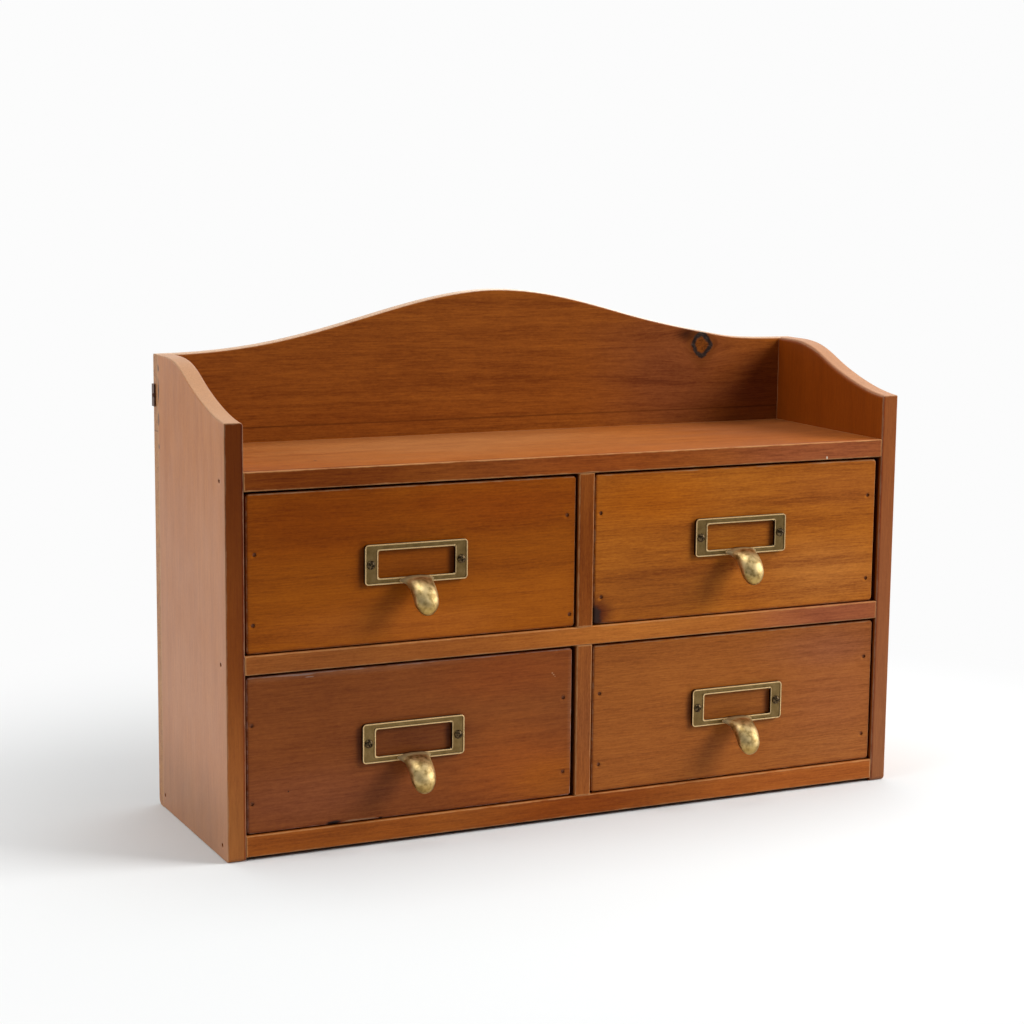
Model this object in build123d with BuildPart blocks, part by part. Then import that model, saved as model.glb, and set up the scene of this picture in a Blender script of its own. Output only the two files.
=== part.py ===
"""Desktop drawer organizer: a wooden cabinet with four drawers, an open tray and a crested back.

Sizes are in millimetres. X runs along the cabinet, Y runs from the front to the back and Z is up.
The origin is on the table, under the middle of the whole object.
"""

import os
from math import cos, radians, sin

from build123d import *

# Cabinet
cabinet_width = 400.0
cabinet_depth = 120.0
board = 10.0
bottom_board_thickness = 11.2
divider_thickness = 9.2
divider_shift = 2.0
back_thickness = 8.0
opening_height = 83.5
underside_gap = 2.0
tray_lip_height = 24.8
tray_back_height = 49.8
crest_rise = 32.0
ogee_flat = 12.0
edge_round = 0.7
tray_edge_round = 2.0
crest_edge_round = 1.3
foot_round = 2.5
heel_round = 4.0

# Drawers
front_thickness = 9.0
front_recess = 1.2
front_top_gap = 1.3
front_bottom_gap = 0.4
front_corner_round = 2.0
front_edge_round = 1.5
drawer_board = 7.0
drawer_side_drop = 5.0
drawer_rear_gap = 2.0
bottom_panel_thickness = 3.0
groove_depth = 3.0
groove_height = 4.0
groove_clearance = 0.1
drawer_edge_round = 0.6

# Nails
nail_radius = 0.7
nail_head_radius = 1.05
nail_head_height = 0.8
nail_set = 0.7
nail_clearance = 0.02
side_nail_length = 28.0
back_nail_length = 24.0
divider_nail_length = 26.0
drawer_nail_length = 21.0
panel_nail_length = 12.0
side_nail_inset = 8.5
rear_nail_inset = 3.5
divider_nail_inset = 28.0
back_nail_spacing = 150.0
drawer_back_nail_heights = (16.0, 50.0)
panel_nail_spacing = 60.0

# Heights of the nails through the back into the sides, as shares of the hangers' height
back_edge_nail_shares = (0.2, 0.55, 0.88)

# Pull: label frame and finger pull
frame_width = 57.6
frame_height = 21.1
frame_thickness = 2.0
frame_corner = 2.0
window_width = 43.1
window_height = 14.5
window_corner = 1.3
rim_width = 0.7
rim_height = 0.5
rim_round = 0.2
card_slot_margin = 1.2
card_slot_depth = 0.7
beak_reach = 16.4
beak_drop = 16.7
beak_root_height = -8.9
beak_cap_start = 60.0
beak_cap_steps = 6

# Pull screws
screw_spacing = 50.8
screw_radius = 1.2
screw_head_radius = 2.35
screw_head_height = 1.5
screw_length = 6.5
screw_clearance = 0.05

# Wall hangers
hanger_thickness = 1.0
hanger_height = 12.0
hanger_length = 34.0
hanger_return = 4.0
hanger_drop = 22.3
hanger_bend_round = 0.9
hanger_end_round = 2.0
keyhole_inset = 17.0
keyhole_radius = 2.8
keyhole_slot_radius = 1.5
keyhole_low = 2.0
keyhole_rise = 4.8
pocket_margin = 1.4
pocket_depth = 5.0
hanger_screw_insets = (9.0, 28.0)
hanger_screw_radius = 1.1
hanger_screw_head_radius = 2.1
hanger_screw_head_height = 0.9
hanger_screw_length = 6.5
tack_radius = 0.6
tack_head_radius = 1.2
tack_head_height = 0.5
tack_length = 6.0

# Which column and row each drawer is in
drawers = {
    "upper_left": (0, 1),
    "upper_right": (1, 1),
    "lower_left": (0, 0),
    "lower_right": (1, 0),
}

# The drawers were fitted by hand, so each front has its own gaps at the left and the right
side_gaps = {
    "upper_left": (1.1, 1.1),
    "upper_right": (0.8, 2.2),
    "lower_left": (0.7, 2.0),
    "lower_right": (1.1, 1.0),
}

# Where the middle of each label frame is: off the front's middle, and above the front's lower edge
pull_places = {
    "upper_left": (-0.45, 41.8),
    "upper_right": (0.5, 43.8),
    "lower_left": (-1.0, 41.3),
    "lower_right": (0.1, 41.4),
}

# The nails at each end of a front: inset, as a share of the wood outside the groove, and height
left_nails = {
    "upper_left": ((0.9, 14.9), (1.15, 51.0)),
    "upper_right": ((1.2, 14.9), (0.95, 60.8)),
    "lower_left": ((0.7, 16.0), (0.7, 56.8)),
    "lower_right": ((1.1, 15.4), (1.1, 55.0)),
}
right_nails = {
    "upper_left": ((0.8, 7.0), (1.35, 61.0)),
    "upper_right": ((1.2, 13.4), (1.35, 61.4)),
    "lower_left": ((1.3, 13.8), (1.35, 55.0)),
    "lower_right": ((1.35, 15.4), (1.35, 61.0)),
}

# Points between the ends of the ogee, as shares of its run and rise, and its slope at the front
ogee_shares = ((0.30, 0.21), (0.57, 0.57))
ogee_start_direction = (1, 0.07)

# Points of the crest, as shares of the half width and of the rise
crest_shares = ((1.0, 0.0), (0.7, 0.134), (0.5, 0.394), (0.3, 0.719), (0.0, 1.0))

# Sections of the finger pull from its root: angle along its bend, half width, half thickness
beak_sections = ((0, 10.2, 2.0), (9, 9.2, 2.3), (18, 7.8, 2.9), (30, 7.1, 3.7), (45, 6.9, 4.5))
beak_half_width = 6.7
beak_half_thickness = 4.8

# Directions that a nail or screw head faces
LEFT = (-1, 0, 0)
RIGHT = (1, 0, 0)
FRONT = (0, -1, 0)
REAR = (0, 1, 0)
BELOW = (0, 0, -1)
HEAD_UP = (Align.CENTER, Align.CENTER, Align.MAX)

# Cross recess of a screw head, as shares of the head's radius and height
recess_length_share = 1.1
recess_width_share = 0.28
recess_depth_share = 0.5


def at_y(y):
    """The front view plane at depth y: its extrusions go towards the front."""
    return Plane.XZ.offset(-y)


def entry(x, y, z, outward):
    """The place where a nail or screw goes in, with its Z axis pointing out of the surface."""
    return Plane(origin=(x, y, z), z_dir=outward).location


def save(piece, name):
    """Labels a finished piece and writes it to its own file."""
    piece.part.label = name
    export_step(piece.part, f"parts/{name}.step")


def dimpled_holes(places, length):
    """Cuts the holes of set nails into the board that holds their heads."""
    with Locations(*places):
        CounterBoreHole(
            radius=nail_radius + nail_clearance,
            counter_bore_radius=nail_head_radius + nail_clearance,
            counter_bore_depth=nail_set + nail_head_height,
            depth=nail_set + length + nail_clearance,
        )


def nail_holes(places, length):
    """Cuts the holes of the same nails into the board behind."""
    with Locations(*places):
        Hole(radius=nail_radius + nail_clearance, depth=nail_set + length + nail_clearance)


def nails(places, length):
    """Adds the nails, set a little below the surface."""
    with Locations(*places):
        with Locations((0, 0, -nail_set)):
            Cylinder(nail_radius, length, align=HEAD_UP)
            Cylinder(nail_head_radius, nail_head_height, align=HEAD_UP)


def screw_shape(radius, head_radius, head_height, length):
    """A round-head screw along Z, with the seat of its head at z = 0."""
    with BuildPart() as screw:
        with BuildSketch(Plane.XZ):
            with BuildLine():
                EllipticalCenterArc((0, 0), head_radius, head_height, start_angle=0, arc_size=90)
                Polyline((0, head_height), (0, 0), (head_radius, 0))
            make_face()
        revolve(axis=Axis.Z)
        Cylinder(radius, length, align=HEAD_UP)
        with Locations((0, 0, head_height)):
            recess_length = head_radius * recess_length_share
            recess_width = head_radius * recess_width_share
            recess_depth = 2 * head_height * recess_depth_share
            Box(recess_length, recess_width, recess_depth, mode=Mode.SUBTRACT)
            Box(recess_width, recess_length, recess_depth, mode=Mode.SUBTRACT)
    return screw.part


# Heights, from the table up
lower_opening = underside_gap + bottom_board_thickness
middle_shelf_height = lower_opening + opening_height
upper_opening = middle_shelf_height + board
top_shelf_height = upper_opening + opening_height
tray_floor = top_shelf_height + board
side_front_top = tray_floor + tray_lip_height
side_rear_top = tray_floor + tray_back_height
hanger_z = side_rear_top - hanger_drop
shelf_middles = (
    underside_gap + bottom_board_thickness / 2,
    middle_shelf_height + board / 2,
    top_shelf_height + board / 2,
)
opening_heights = (lower_opening, upper_opening)

# Widths and depths
half_width = cabinet_width / 2
inner_half = half_width - board
shelf_length = cabinet_width - 2 * board
shelf_depth = cabinet_depth - back_thickness
divider_left = divider_shift - divider_thickness / 2
divider_right = divider_shift + divider_thickness / 2
columns = ((-inner_half, divider_left), (divider_right, inner_half))
ogee_run = shelf_depth - ogee_flat

os.makedirs("parts", exist_ok=True)

# Pull casting, made with the drawer's face at y = 0 and the middle of the label frame at the origin
with BuildPart() as pull_casting:
    with BuildSketch(Plane.XZ):
        RectangleRounded(frame_width, frame_height, frame_corner)
        RectangleRounded(window_width, window_height, window_corner, mode=Mode.SUBTRACT)
    extrude(amount=frame_thickness)

    # A flat channel runs round the frame between its outer and inner rims
    with BuildSketch(Plane.XZ.offset(frame_thickness)):
        RectangleRounded(frame_width - 2 * rim_width, frame_height - 2 * rim_width, frame_corner / 2)
        RectangleRounded(
            window_width + 2 * rim_width,
            window_height + 2 * rim_width,
            window_corner,
            mode=Mode.SUBTRACT,
        )
    extrude(amount=-rim_height, mode=Mode.SUBTRACT)
    rims = pull_casting.faces().filter_by(Axis.Y).group_by(Axis.Y)[0]
    fillet(rims.edges(), rim_round)

    # The card slides into a shallow slot behind the window
    with BuildSketch(Plane.XZ):
        Rectangle(window_width + 2 * card_slot_margin, window_height + 2 * card_slot_margin)
    extrude(amount=card_slot_depth, mode=Mode.SUBTRACT)

    # The finger pull bends out and down along a quarter of an ellipse, and ends in a round cap
    bend_centre = Vector(0, 0, beak_root_height - beak_drop)
    sections = list(beak_sections)
    for step in range(beak_cap_steps):
        turn = radians(90 * step / beak_cap_steps)
        angle = beak_cap_start + (90 - beak_cap_start) * sin(turn)
        sections.append((angle, beak_half_width * cos(turn), beak_half_thickness * cos(turn)))
    for angle, half_across, half_through in sections:
        bend = radians(angle)
        centre = bend_centre + Vector(0, -beak_reach * sin(bend), beak_drop * cos(bend))
        along = Vector(0, -beak_reach * cos(bend), -beak_drop * sin(bend))
        with BuildSketch(Plane(origin=centre, x_dir=(1, 0, 0), z_dir=along)):
            Ellipse(half_across, half_through)
    beak_tip = bend_centre + Vector(0, -beak_reach, 0)
    loft(sections=[*pull_casting.pending_faces, Vertex(*beak_tip)])

    with Locations(entry(-screw_spacing / 2, 0, 0, FRONT), entry(screw_spacing / 2, 0, 0, FRONT)):
        Hole(radius=screw_radius + screw_clearance)

pull_screw = screw_shape(
    screw_radius, screw_head_radius, screw_head_height, frame_thickness - rim_height + screw_length
)
hanger_screw = screw_shape(
    hanger_screw_radius,
    hanger_screw_head_radius,
    hanger_screw_head_height,
    hanger_thickness + hanger_screw_length,
)
hanger_tack = screw_shape(tack_radius, tack_head_radius, tack_head_height, hanger_thickness + tack_length)

# The origin is midway between the tip of the pulls and the back of the hangers' screws
pull_projection = -pull_casting.part.bounding_box().min.Y
hanger_projection = hanger_thickness + hanger_screw_head_height
front_y = (pull_projection - front_recess - cabinet_depth - hanger_projection) / 2
rear_y = front_y + cabinet_depth
joint_y = rear_y - back_thickness

# Where the nails of the cabinet go in
side_nail_points = [(front_y + side_nail_inset, height) for height in shelf_middles]
side_nail_points.append((joint_y - rear_nail_inset, shelf_middles[0]))
left_entries = [entry(-half_width, y, z, LEFT) for y, z in side_nail_points]
right_entries = [entry(half_width, y, z, RIGHT) for y, z in side_nail_points]
shelf_entries = [
    entry(place * back_nail_spacing, rear_y, height, REAR)
    for height in shelf_middles
    for place in (-1, 0, 1)
]
divider_back_entries = [
    entry(divider_shift, rear_y, height + opening_height / 2, REAR)
    for height in opening_heights
]
back_edge_nail_heights = [share * hanger_z for share in back_edge_nail_shares]
left_edge_entries = [entry(-half_width + board / 2, rear_y, z, REAR) for z in back_edge_nail_heights]
right_edge_entries = [entry(half_width - board / 2, rear_y, z, REAR) for z in back_edge_nail_heights]
back_entries = shelf_entries + divider_back_entries + left_edge_entries + right_edge_entries
divider_nail_depths = (front_y + divider_nail_inset, joint_y - divider_nail_inset)
lower_divider_entries = [entry(divider_shift, y, underside_gap, BELOW) for y in divider_nail_depths]
upper_divider_entries = [entry(divider_shift, y, middle_shelf_height, BELOW) for y in divider_nail_depths]

# Where the hangers' screws and tacks go in
keyhole_x = half_width - keyhole_inset
keyhole_z = hanger_z - keyhole_low
hanger_screw_entries = [
    entry(hand * (half_width - inset), rear_y + hanger_thickness, hanger_z, REAR)
    for hand in (-1, 1)
    for inset in hanger_screw_insets
]
tack_entries = [
    entry(-half_width - hanger_thickness, rear_y - hanger_return / 2, hanger_z, LEFT),
    entry(half_width + hanger_thickness, rear_y - hanger_return / 2, hanger_z, RIGHT),
]

# Side panels
sides = (("left", -1, left_entries, left_edge_entries), ("right", 1, right_entries, right_edge_entries))
for side_name, hand, outer_entries, edge_entries in sides:
    with BuildPart() as side_panel:
        with BuildSketch(Plane.YZ.offset(hand * inner_half)):
            with BuildLine():
                ogee_rise = side_rear_top - side_front_top
                ogee = Spline(
                    (front_y, side_front_top),
                    *[(front_y + run * ogee_run, side_front_top + up * ogee_rise) for run, up in ogee_shares],
                    (front_y + ogee_run, side_rear_top),
                    tangents=(ogee_start_direction, (1, 0)),
                )
                Polyline(ogee @ 1, (joint_y, side_rear_top), (joint_y, 0), (front_y, 0), ogee @ 0)
            make_face()
        extrude(amount=hand * board)
        foot = side_panel.edges().filter_by(Axis.X).group_by(Axis.Z)[0].sort_by(Axis.Y)[0]
        fillet(foot, foot_round)

        inner_face = side_panel.faces().filter_by(Axis.X).sort_by(Axis.X, reverse=hand < 0)[0]
        fillet(inner_face.edges().filter_by_position(Axis.Z, side_front_top, side_rear_top), tray_edge_round)
        outer_face = side_panel.faces().filter_by(Axis.X).sort_by(Axis.X, reverse=hand < 0)[-1]
        front_face = side_panel.faces().filter_by(Axis.Y).sort_by(Axis.Y)[0]
        joint_edge = outer_face.edges().filter_by(Axis.Z).sort_by(Axis.Y)[-1:]
        fillet(outer_face.edges() - joint_edge + front_face.edges(), edge_round)

        dimpled_holes(outer_entries, side_nail_length)
        nail_holes(edge_entries, back_nail_length)
    save(side_panel, f"side_{side_name}")

# Back panel
with BuildPart() as back_panel:
    with BuildSketch(at_y(joint_y)):
        with BuildLine():
            left_half = [(-x * half_width, side_rear_top + z * crest_rise) for x, z in crest_shares]
            right_half = [(-x, z) for x, z in reversed(left_half[:-1])]
            crest = Spline(*left_half, *right_half, tangents=((1, 0), (1, 0)))
            Polyline(crest @ 1, (half_width, 0), (-half_width, 0), crest @ 0)
        make_face()
    extrude(amount=-back_thickness)
    rear_face = back_panel.faces().filter_by(Axis.Y).sort_by(Axis.Y)[-1]
    fillet(rear_face.edges().filter_by(Axis.X).sort_by(Axis.Z)[0], heel_round)
    fillet(back_panel.edges().filter_by(GeomType.BSPLINE), crest_edge_round)

    # Pockets behind the keyholes leave room for the heads of the wall screws
    with BuildSketch(at_y(rear_y)):
        pocket_z = keyhole_z + keyhole_rise / 2
        with Locations((-keyhole_x, pocket_z), (keyhole_x, pocket_z)):
            SlotCenterToCenter(keyhole_rise, 2 * (keyhole_radius + pocket_margin), rotation=90)
    extrude(amount=pocket_depth, mode=Mode.SUBTRACT)
    with Locations(*hanger_screw_entries):
        Hole(hanger_screw_radius + nail_clearance, hanger_thickness + hanger_screw_length + nail_clearance)
    with Locations(*tack_entries):
        Hole(tack_radius + nail_clearance, hanger_thickness + tack_length + nail_clearance)
    dimpled_holes(back_entries, back_nail_length)
save(back_panel, "back_panel")

# Shelves, each with the nails that come up through it into a divider
shelves = (
    ("bottom_board", underside_gap, bottom_board_thickness, lower_divider_entries),
    ("middle_shelf", middle_shelf_height, board, upper_divider_entries),
    ("top_shelf", top_shelf_height, board, []),
)
for shelf_name, height, thickness, under_entries in shelves:
    with BuildPart() as shelf:
        with BuildSketch(Plane.XY.offset(height)):
            with Locations((0, front_y + shelf_depth / 2)):
                Rectangle(shelf_length, shelf_depth)
        extrude(amount=thickness)
        fillet(shelf.edges().filter_by(Axis.X).group_by(Axis.Y)[0], edge_round)
        nail_holes(left_entries + right_entries, side_nail_length)
        nail_holes(shelf_entries, back_nail_length)
        if under_entries:
            dimpled_holes(under_entries, divider_nail_length)
    save(shelf, shelf_name)

# Dividers
dividers = (
    ("divider_lower", lower_opening, lower_divider_entries),
    ("divider_upper", upper_opening, upper_divider_entries),
)
for divider_name, height, under_entries in dividers:
    with BuildPart() as divider:
        with BuildSketch(Plane.XY.offset(height)):
            with Locations((divider_shift, front_y + shelf_depth / 2)):
                Rectangle(divider_thickness, shelf_depth)
        extrude(amount=opening_height)
        fillet(divider.edges().filter_by(Axis.Z).group_by(Axis.Y)[0], edge_round)
        nail_holes(under_entries, divider_nail_length)
        nail_holes(divider_back_entries, back_nail_length)
    save(divider, divider_name)

# Nails of the cabinet
with BuildPart() as side_nails:
    nails(left_entries + right_entries, side_nail_length)
save(side_nails, "side_nails")

with BuildPart() as back_nails:
    nails(back_entries, back_nail_length)
save(back_nails, "back_nails")

with BuildPart() as divider_nails:
    nails(lower_divider_entries + upper_divider_entries, divider_nail_length)
save(divider_nails, "divider_nails")

# Wall hangers: plates bent round the rear corners, each with a keyhole over its pocket
for side_name, hand in (("left", -1), ("right", 1)):
    with BuildPart() as hanger:
        with BuildSketch(Plane.XY.offset(hanger_z - hanger_height / 2)):
            with BuildLine():
                outer_x = hand * (half_width + hanger_thickness)
                inner_x = hand * (half_width - hanger_length)
                outer_y = rear_y + hanger_thickness
                Polyline(
                    (hand * half_width, rear_y - hanger_return),
                    (outer_x, rear_y - hanger_return),
                    (outer_x, outer_y),
                    (inner_x, outer_y),
                    (inner_x, rear_y),
                    (hand * half_width, rear_y),
                    close=True,
                )
            make_face()
        extrude(amount=hanger_height)
        bend = hanger.edges().filter_by(Axis.Z).group_by(Axis.Y)[-1].sort_by(Axis.X, reverse=hand < 0)[-1]
        fillet(bend, hanger_bend_round)
        fillet(hanger.edges().filter_by(Axis.Y).group_by(Axis.X)[0 if hand > 0 else -1], hanger_end_round)

        with BuildSketch(at_y(rear_y)):
            with Locations((hand * keyhole_x, keyhole_z)):
                Circle(keyhole_radius)
            with Locations((hand * keyhole_x, keyhole_z + keyhole_rise / 2)):
                SlotCenterToCenter(keyhole_rise, 2 * keyhole_slot_radius, rotation=90)
        extrude(amount=-hanger_thickness, mode=Mode.SUBTRACT)
        with Locations(*hanger_screw_entries):
            Hole(hanger_screw_radius + screw_clearance, 2 * hanger_thickness)
        with Locations(*tack_entries):
            Hole(tack_radius + screw_clearance, 2 * hanger_thickness)
    save(hanger, f"hanger_{side_name}")

with BuildPart() as hanger_screws:
    with Locations(*hanger_screw_entries):
        add(hanger_screw)
    with Locations(*tack_entries):
        add(hanger_tack)
save(hanger_screws, "hanger_screws")

# Sizes that the drawers share
front_height = opening_height - front_top_gap - front_bottom_gap
drawer_front_y = front_y + front_recess
drawer_box_y = drawer_front_y + front_thickness
drawer_rear_y = joint_y - drawer_rear_gap
drawer_box_length = drawer_rear_y - drawer_box_y
drawer_side_height = front_height - drawer_side_drop
back_y = drawer_rear_y - drawer_board / 2
seat_y = drawer_front_y - frame_thickness + rim_height
groove_thickness = bottom_panel_thickness + 2 * groove_clearance
outside_groove = drawer_board - groove_depth

for drawer_name, (column, row) in drawers.items():
    left_gap, right_gap = side_gaps[drawer_name]
    left_x = columns[column][0] + left_gap
    right_x = columns[column][1] - right_gap
    centre_x = (left_x + right_x) / 2
    front_width = right_x - left_x
    inside_width = front_width - 2 * drawer_board
    base_z = opening_heights[row] + front_bottom_gap
    top_z = base_z + drawer_side_height
    groove_z = base_z + groove_height
    panel_z = groove_z + groove_clearance
    back_z = panel_z + bottom_panel_thickness
    pull_shift, pull_height = pull_places[drawer_name]
    pull_x = centre_x + pull_shift
    pull_z = base_z + pull_height

    # Where the drawer's nails and screws go in
    front_entries = [
        entry(left_x + share * outside_groove, drawer_front_y, base_z + up, FRONT)
        for share, up in left_nails[drawer_name]
    ]
    front_entries += [
        entry(right_x - share * outside_groove, drawer_front_y, base_z + up, FRONT)
        for share, up in right_nails[drawer_name]
    ]
    rear_entries = [
        entry(end_x, back_y, back_z + up, outward)
        for end_x, outward in ((left_x, LEFT), (right_x, RIGHT))
        for up in drawer_back_nail_heights
    ]
    panel_entries = [entry(centre_x + i * panel_nail_spacing, back_y, panel_z, BELOW) for i in (-1, 0, 1)]
    screw_entries = [entry(pull_x + end * screw_spacing / 2, seat_y, pull_z, FRONT) for end in (-1, 1)]

    with BuildPart() as front:
        with BuildSketch(at_y(drawer_front_y)):
            with Locations((centre_x, base_z + front_height / 2)):
                RectangleRounded(front_width, front_height, front_corner_round)
        extrude(amount=-front_thickness)
        fillet(front.faces().filter_by(Axis.Y).sort_by(Axis.Y)[0].edges(), front_edge_round)
        with BuildSketch(at_y(drawer_box_y)):
            with Locations((centre_x, groove_z + groove_thickness / 2)):
                Rectangle(inside_width + 2 * groove_depth, groove_thickness)
        extrude(amount=groove_depth, mode=Mode.SUBTRACT)
        dimpled_holes(front_entries, drawer_nail_length)
        with Locations(*screw_entries):
            Hole(screw_radius + nail_clearance, frame_thickness + screw_length)
    save(front, f"drawer_{drawer_name}_front")

    for side_name, hand in (("left", -1), ("right", 1)):
        with BuildPart() as drawer_side:
            with BuildSketch(at_y(drawer_box_y)):
                with Locations((centre_x + hand * (front_width - drawer_board) / 2, (base_z + top_z) / 2)):
                    Rectangle(drawer_board, drawer_side_height)
                groove_x = centre_x + hand * (inside_width + groove_depth) / 2
                with Locations((groove_x, groove_z + groove_thickness / 2)):
                    Rectangle(groove_depth, groove_thickness, mode=Mode.SUBTRACT)
            extrude(amount=-drawer_box_length)
            fillet(drawer_side.edges().filter_by(Axis.Y).group_by(Axis.Z)[-1], drawer_edge_round)
            nail_holes(front_entries, drawer_nail_length)
            own_entries = [place for place in rear_entries if hand * (place.position.X - centre_x) > 0]
            dimpled_holes(own_entries, drawer_nail_length)
        save(drawer_side, f"drawer_{drawer_name}_side_{side_name}")

    with BuildPart() as drawer_back:
        with BuildSketch(at_y(drawer_rear_y)):
            with Locations((centre_x, (back_z + top_z) / 2)):
                Rectangle(inside_width, top_z - back_z)
        extrude(amount=drawer_board)
        fillet(drawer_back.edges().filter_by(Axis.X).group_by(Axis.Z)[-1], drawer_edge_round)
        nail_holes(rear_entries, drawer_nail_length)
        nail_holes(panel_entries, panel_nail_length)
    save(drawer_back, f"drawer_{drawer_name}_back")

    with BuildPart() as bottom_panel:
        panel_width = inside_width + 2 * (groove_depth - groove_clearance)
        panel_length = drawer_box_length + groove_depth - groove_clearance
        with BuildSketch(Plane.XY.offset(panel_z)):
            with Locations((centre_x, drawer_rear_y - panel_length / 2)):
                Rectangle(panel_width, panel_length)
        extrude(amount=bottom_panel_thickness)
        dimpled_holes(panel_entries, panel_nail_length)
    save(bottom_panel, f"drawer_{drawer_name}_bottom")

    with BuildPart() as drawer_nails:
        nails(front_entries + rear_entries, drawer_nail_length)
        nails(panel_entries, panel_nail_length)
    save(drawer_nails, f"drawer_{drawer_name}_nails")

    with BuildPart() as pull:
        with Locations((pull_x, drawer_front_y, pull_z)):
            add(pull_casting.part)
    save(pull, f"drawer_{drawer_name}_pull")

    with BuildPart() as pull_screws:
        with Locations(*screw_entries):
            add(pull_screw)
    save(pull_screws, f"drawer_{drawer_name}_pull_screws")
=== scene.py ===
"""Looks for the desktop drawer organizer: stained boards, antique brass pulls, studio and camera.

Places, lengths and radii in the materials are in millimetres, in the same frame as the CAD model.
"""

import math

import bpy
from mathutils import Matrix, Vector


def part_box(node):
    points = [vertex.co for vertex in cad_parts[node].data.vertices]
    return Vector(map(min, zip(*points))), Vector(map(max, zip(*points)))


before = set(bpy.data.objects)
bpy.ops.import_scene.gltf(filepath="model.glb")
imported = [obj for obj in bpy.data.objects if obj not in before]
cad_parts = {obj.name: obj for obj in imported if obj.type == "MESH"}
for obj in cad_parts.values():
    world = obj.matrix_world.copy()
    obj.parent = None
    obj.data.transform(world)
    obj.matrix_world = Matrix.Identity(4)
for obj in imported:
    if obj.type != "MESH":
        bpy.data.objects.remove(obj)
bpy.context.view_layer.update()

MM = 0.001
AXES = {"x": 0, "y": 1, "z": 2}

# Places on the cabinet that the materials follow
side_low, side_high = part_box("side_left")
back_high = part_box("back_panel")[1]
front_y = side_low.y / MM
side_front_top = 225.0
side_rear_top = side_high.z / MM
crest_top = back_high.z / MM
half_width = back_high.x / MM
inner_half = -side_high.x / MM
tray_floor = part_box("top_shelf")[1].z / MM
ogee_run = 100.0


class Graph:
    """A node tree whose nodes are added one call at a time."""

    def __init__(self, tree):
        self.nodes = tree.nodes
        self.links = tree.links

    def feed(self, socket, value):
        """Links an output to an input socket, or sets the socket to a plain value."""
        if isinstance(value, bpy.types.NodeSocket):
            self.links.new(value, socket)
        else:
            socket.default_value = value

    def node(self, kind, inputs=(), **settings):
        """Adds a node and feeds its first input sockets."""
        node = self.nodes.new(f"ShaderNode{kind}")
        for name, value in settings.items():
            setattr(node, name, value)
        for socket, value in zip(node.inputs, inputs):
            self.feed(socket, value)
        return node

    def math(self, operation, *values):
        return self.node("Math", values, operation=operation).outputs[0]

    def add(self, *values):
        total = values[0]
        for value in values[1:]:
            total = self.math("ADD", total, value)
        return total

    def times(self, *values):
        product = values[0]
        for value in values[1:]:
            product = self.math("MULTIPLY", product, value)
        return product

    def minus(self, a, b):
        return self.math("SUBTRACT", a, b)

    def absolute(self, value):
        return self.math("ABSOLUTE", value)

    def length(self, a, b):
        """Length of the flat vector (a, b)."""
        return self.math("SQRT", self.add(self.times(a, a), self.times(b, b)))

    def vector(self, operation, *vectors):
        node = self.node("VectorMath", vectors, operation=operation)
        return node.outputs["Value" if operation in ("LENGTH", "DISTANCE", "DOT_PRODUCT") else "Vector"]

    def combine(self, x, y, z):
        return self.node("CombineXYZ", (x, y, z)).outputs[0]

    def split(self, vector):
        return list(self.node("SeparateXYZ", (vector,)).outputs)

    def noise(self, vector, scale=1.0, detail=2.0, roughness=0.5):
        node = self.node("TexNoise")
        settings = {"Vector": vector, "Scale": scale, "Detail": detail, "Roughness": roughness}
        for name, value in settings.items():
            self.feed(node.inputs[name], value)
        return node.outputs["Fac"]

    def step(self, value, low, high, to_low=0.0, to_high=1.0):
        """A smooth step from to_low, where value is low, to to_high, where it is high."""
        inputs = (value, low, high, to_low, to_high)
        return self.node("MapRange", inputs, interpolation_type="SMOOTHSTEP").outputs[0]

    def mix(self, factor, a, b, blend="MIX"):
        """Mixes two colours. The node's sockets for colours are its inputs 6 and 7 and its output 2."""
        node = self.node("Mix", (factor,), data_type="RGBA", blend_type=blend)
        for socket, colour in zip(node.inputs[6:8], (a, b)):
            self.feed(socket, (*colour, 1.0) if isinstance(colour, tuple) else colour)
        return node.outputs[2]

    def tint(self, factor, colour, multiplier):
        """Multiplies a colour by another, by as much as the factor says."""
        return self.mix(factor, colour, self.mix(1.0, colour, multiplier, "MULTIPLY"))

    def ramp(self, value, colours):
        """A colour ramp through (place, colour) pairs."""
        node = self.node("ValToRGB", (value,))
        stops = node.color_ramp.elements
        while len(stops) < len(colours):
            stops.new(0.5)
        for stop, (place, colour) in zip(stops, colours):
            stop.position = place
            stop.color = (*colour, 1.0)
        return node.outputs[0]


class Shader(Graph):
    """A Principled material."""

    def __init__(self, name):
        self.material = bpy.data.materials.new(name)
        self.material.use_nodes = True
        super().__init__(self.material.node_tree)
        self.surface = self.nodes["Principled BSDF"]

    def set(self, name, value):
        self.feed(self.surface.inputs[name], value)

    def place(self):
        """The point being shaded, in millimetres."""
        return self.vector("MULTIPLY", self.node("TexCoord").outputs["Object"], (1 / MM, 1 / MM, 1 / MM))

    def normal(self):
        """The surface's own direction, before any bump."""
        return self.split(self.node("TexCoord").outputs["Normal"])

    def bump(self, height, distance, strength):
        node = self.node("Bump")
        for name, value in {"Strength": strength, "Distance": distance * MM, "Height": height}.items():
            self.feed(node.inputs[name], value)
        self.set("Normal", node.outputs[0])

    def use_on(self, *nodes):
        for node in nodes:
            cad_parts[node].data.materials.clear()
            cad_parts[node].data.materials.append(self.material)


def srgb(red, green, blue):
    """A linear colour from display values of 0 to 255."""
    shares = (red / 255, green / 255, blue / 255)
    return tuple(((v + 0.055) / 1.055) ** 2.4 if v > 0.04045 else v / 12.92 for v in shares)


def scaled(colour, factor):
    return tuple(channel * factor for channel in colour)


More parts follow.
